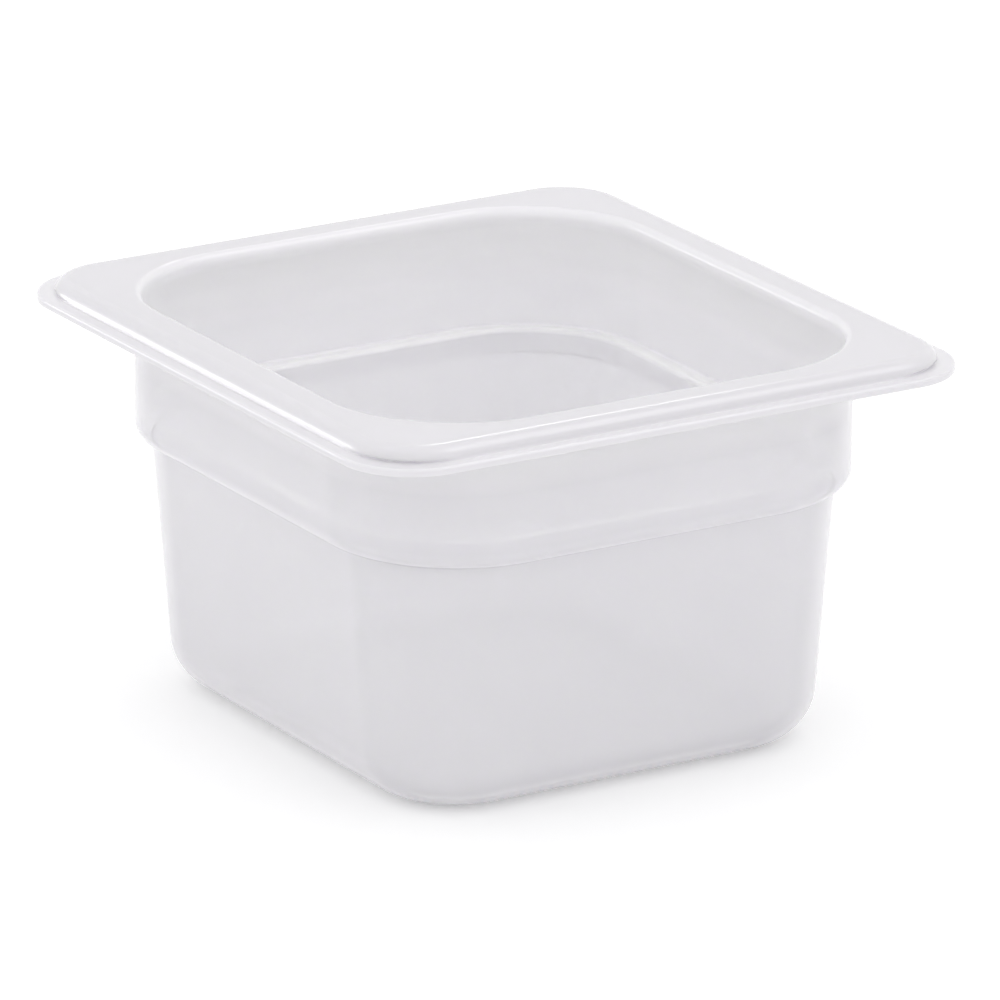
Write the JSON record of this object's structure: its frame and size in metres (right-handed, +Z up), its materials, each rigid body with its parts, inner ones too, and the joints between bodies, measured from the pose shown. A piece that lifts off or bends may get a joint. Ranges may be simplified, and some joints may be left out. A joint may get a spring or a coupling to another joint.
{
  "type": "deli food pan",
  "caption": "Translucent plastic sixth-size food pan with a raised rim, a thin hanging lip, a stacking shoulder and a tapered, rounded well for holding food in a counter or well.",
  "frame": {"origin": "middle of the underside, on the surface the pan stands on", "axes": "+Z up, +Y along the longer side of the rim, +X along the shorter side"},
  "size_m": [0.162, 0.176, 0.099],
  "materials": {
    "translucent_plastic": "smooth milky translucent polypropylene"
  },
  "bodies": {
    "root": {"pan": "translucent_plastic"}
  },
  "joints": []
}
